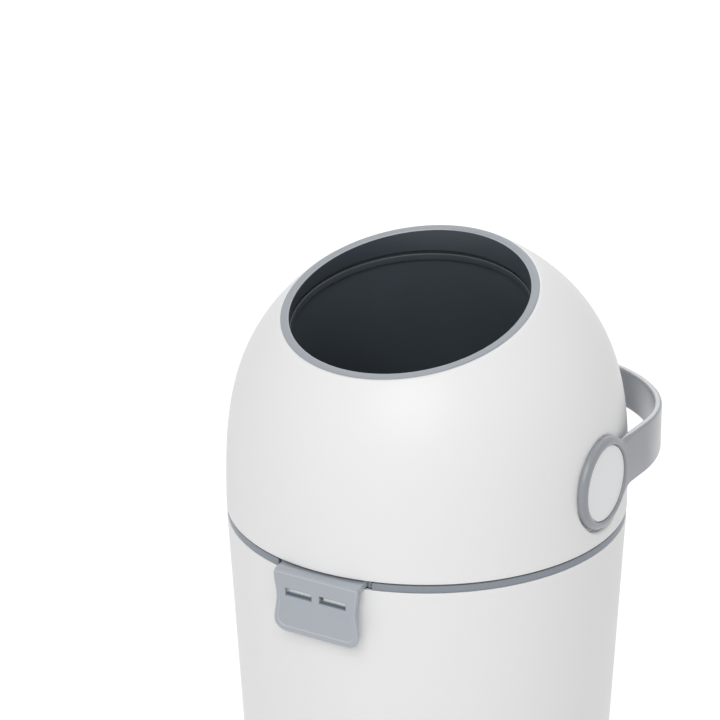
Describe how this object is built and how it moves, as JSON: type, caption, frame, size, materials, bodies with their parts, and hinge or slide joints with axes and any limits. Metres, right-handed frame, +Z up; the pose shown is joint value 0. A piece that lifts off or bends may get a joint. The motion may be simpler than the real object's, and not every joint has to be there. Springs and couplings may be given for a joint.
{
  "type": "nappy bin",
  "caption": "Tall tapered nappy bin with a hinged domed lid, a tilted round mouth, a drum turned half a turn by a strap handle, a falling piston and a slotted front latch.",
  "frame": {"origin": "on the floor under the middle of the bounding box", "axes": "+Z up, -Y towards the latch side, +X to the right seen from the latch side"},
  "size_m": [0.2838, 0.3076, 0.4853],
  "materials": {
    "shell_white": "white moulded plastic with a soft gloss",
    "trim_grey": "mid grey moulded plastic, satin",
    "pale_grey": "pale grey moulded plastic, satin",
    "dark_rubber": "dark grey soft rubber",
    "dark_bush": "dark low-friction plastic",
    "steel": "zinc plated steel",
    "iron": "plain cast iron"
  },
  "bodies": {
    "base": {"body_shell": "shell_white", "foot_rear_right": "dark_rubber", "foot_rear_left": "dark_rubber", "foot_front_left": "dark_rubber", "foot_front_right": "dark_rubber", "band_ring": "trim_grey", "hinge_bracket": "trim_grey", "hinge_bracket_screw_left": "steel", "hinge_bracket_screw_right": "steel", "hinge_pin": "steel"},
    "lid": {"dome_shell": "shell_white", "mouth_rim": "pale_grey", "throat_seal": "dark_rubber", "lid_frame": "trim_grey", "lid_seal": "dark_rubber", "hinge_leaf": "trim_grey", "hinge_leaf_screw_left": "steel", "hinge_leaf_screw_right": "steel", "latch_pin": "steel", "trunnion_bush_left": "dark_bush", "trunnion_bush_right": "dark_bush"},
    "latch": {"latch_clip": "pale_grey"},
    "drum": {"drum_tube": "trim_grey", "tube_stop_upper": "trim_grey", "tube_stop_lower": "trim_grey", "drum_cheek_front": "trim_grey", "drum_cheek_rear": "trim_grey", "trunnion_left": "trim_grey", "trunnion_right": "trim_grey", "handle": "trim_grey", "handle_cap_left": "shell_white", "handle_cap_right": "shell_white", "handle_washer_left": "steel", "handle_washer_right": "steel", "handle_screw_left": "steel", "handle_screw_right": "steel"},
    "piston": {"piston_cup": "trim_grey", "piston_cover": "trim_grey", "piston_weight": "iron", "piston_seal": "dark_rubber"}
  },
  "joints": [
    {"name": "lid_hinge", "type": "hinge", "parent": "base", "child": "lid", "pos_m": [0, 0.13822, 0.305], "axis": [-1, 0, 0], "range_deg": [0, 90]},
    {"name": "latch_pivot", "type": "hinge", "parent": "lid", "child": "latch", "pos_m": [0, -0.13859, 0.3017], "axis": [-1, 0, 0], "range_deg": [0, 11]},
    {"name": "drum_flip", "type": "hinge", "parent": "lid", "child": "drum", "pos_m": [0, -0.00778, 0.348], "axis": [1, 0, 0], "range_deg": [0, 180]},
    {"name": "piston_slide", "type": "slide", "parent": "drum", "child": "piston", "axis": [0, -0.2051, 0.9787], "range_m": [0, 0.1499]}
  ]
}
